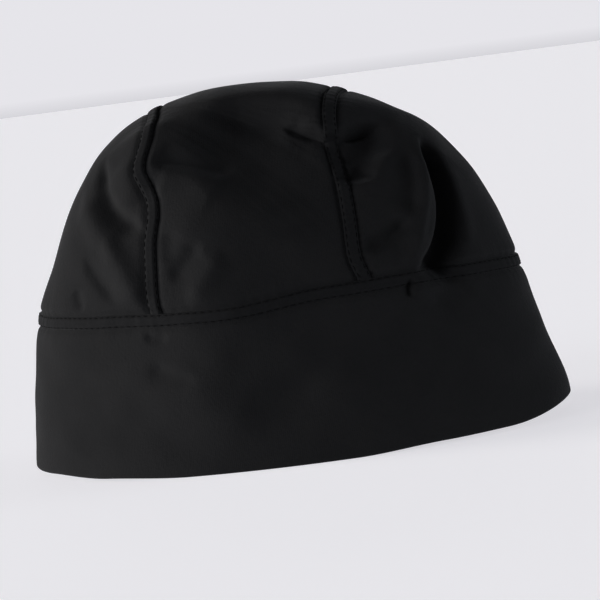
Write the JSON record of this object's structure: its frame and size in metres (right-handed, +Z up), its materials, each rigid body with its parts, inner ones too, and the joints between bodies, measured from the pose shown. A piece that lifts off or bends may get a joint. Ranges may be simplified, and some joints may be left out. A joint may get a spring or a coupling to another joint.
{
  "type": "beanie",
  "caption": "Close-fitting beanie of black stretch fleece, with a centre strip over the crown, side panels, a tall band and flat raised seams.",
  "frame": {"origin": "on the floor, in the middle of the rim that the beanie stands on", "axes": "+Z up through the crown, front toward -Y, +X to the right as seen from the front, across the beanie's long way"},
  "size_m": [0.1996, 0.1525, 0.1338],
  "materials": {
    "fleece": "matte brushed stretch fleece",
    "seam_fleece": "matte fleece with rows of black stitching"
  },
  "bodies": {
    "root": {"band": "fleece", "band_back_seam": "seam_fleece", "band_seam": "seam_fleece", "crown_centre": "fleece", "crown_left": "fleece", "crown_right": "fleece", "crown_seam_left": "seam_fleece", "crown_seam_right": "seam_fleece"}
  },
  "joints": []
}
